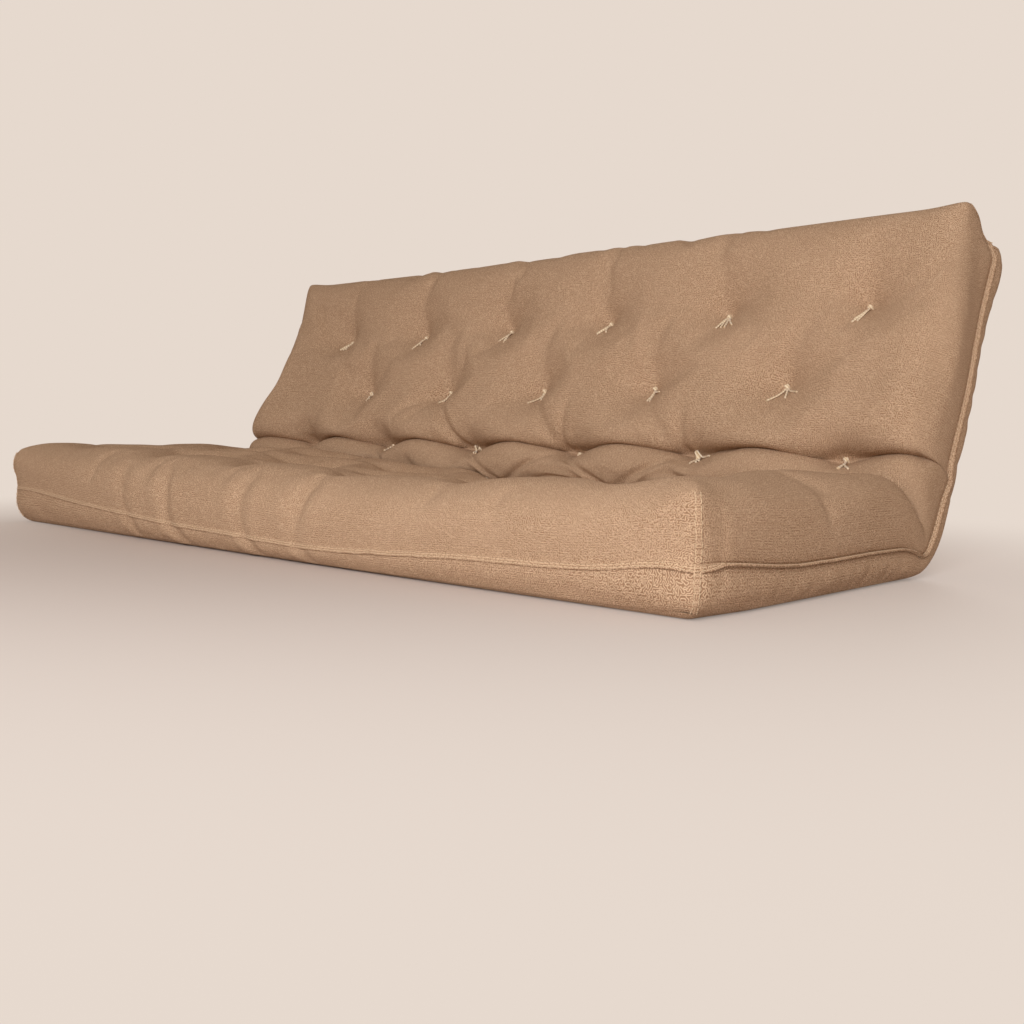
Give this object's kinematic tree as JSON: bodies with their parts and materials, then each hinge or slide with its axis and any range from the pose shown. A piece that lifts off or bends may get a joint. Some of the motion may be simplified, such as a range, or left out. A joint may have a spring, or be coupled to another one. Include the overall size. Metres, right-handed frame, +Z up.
{
  "type": "futon mattress",
  "caption": "Tufted full-size futon mattress folded to a sofa: layered batting and foam in a sewn cotton casing, hinged at its fold so that the back section opens flat.",
  "frame": {"origin": "middle of the seat section's underside, half a seat depth in front of the fold line", "axes": "+X across the mattress, towards the right end as seen from the front; +Y from the front edge towards the back; +Z up"},
  "size_m": [1.912, 1.0139, 0.6394],
  "materials": {
    "casing_cloth": "coarse plain-woven cotton and linen cloth, slubby, matt, warm tan",
    "seam_thread": "spun polyester thread in the casing's tan",
    "cotton_batting": "felted raw cotton, soft and matt",
    "foam": "open-cell polyurethane foam, cut faces",
    "tufting_twine": "twisted cotton twine, cream"
  },
  "bodies": {
    "seat": {"seat_face_panel": "casing_cloth", "seat_base_panel": "casing_cloth", "seat_seam_flange": "casing_cloth", "seat_seam_thread": "seam_thread", "seat_face_batting": "cotton_batting", "seat_face_foam": "foam", "seat_middle_batting": "cotton_batting", "seat_base_foam": "foam", "seat_base_batting": "cotton_batting", "seat_tuft_ties": "tufting_twine"},
    "back": {"back_face_panel": "casing_cloth", "back_base_panel": "casing_cloth", "back_seam_flange": "casing_cloth", "back_seam_thread": "seam_thread", "back_face_batting": "cotton_batting", "back_face_foam": "foam", "back_middle_batting": "cotton_batting", "back_base_foam": "foam", "back_base_batting": "cotton_batting", "back_tuft_ties": "tufting_twine"}
  },
  "joints": [
    {"name": "fold", "type": "hinge", "parent": "seat", "child": "back", "pos_m": [0, 0.36, 0], "axis": [-1, 0, 0], "range_deg": [0, 62.5]}
  ]
}
